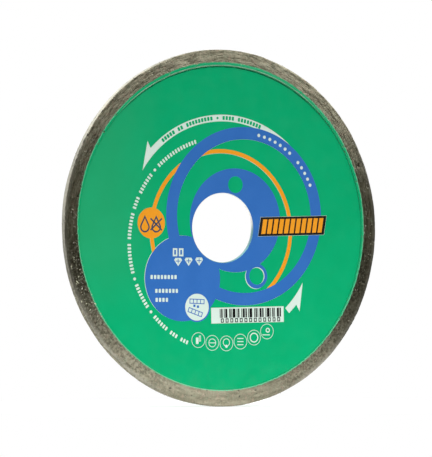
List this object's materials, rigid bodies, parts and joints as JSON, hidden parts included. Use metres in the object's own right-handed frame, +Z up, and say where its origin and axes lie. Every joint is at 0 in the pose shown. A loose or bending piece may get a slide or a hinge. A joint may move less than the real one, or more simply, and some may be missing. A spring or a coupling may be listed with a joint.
{
  "type": "diamond blade",
  "caption": "Thin round diamond blade for cutting ceramic tile: painted steel core with an arbor bore and an unbroken sintered cutting rim.",
  "frame": {"origin": "centre of the bore, halfway through the steel core's thickness", "axes": "+Y along the spin axis, away from the printed face, which looks along -Y; +Z up and +X to the right as the print is seen from the front"},
  "size_m": [0.115, 0.002, 0.115],
  "materials": {
    "core_steel": "ground",
    "sintered_bond": "rough, dressed in rings",
    "white_base": "satin enamel",
    "green_ink": "satin enamel",
    "blue_ink": "satin enamel",
    "orange_ink": "satin enamel",
    "black_ink": "satin enamel",
    "overprint_ink": "satin enamel",
    "back_paint": "satin enamel"
  },
  "bodies": {
    "root": {"steel_core": "core_steel", "diamond_rim": "sintered_bond", "front_base_coat": "white_base", "front_green_ink": "green_ink", "front_blue_ink": "blue_ink", "front_orange_ink": "orange_ink", "front_black_ink": "black_ink", "front_drop_icons": "overprint_ink", "back_coat": "back_paint"}
  },
  "joints": []
}
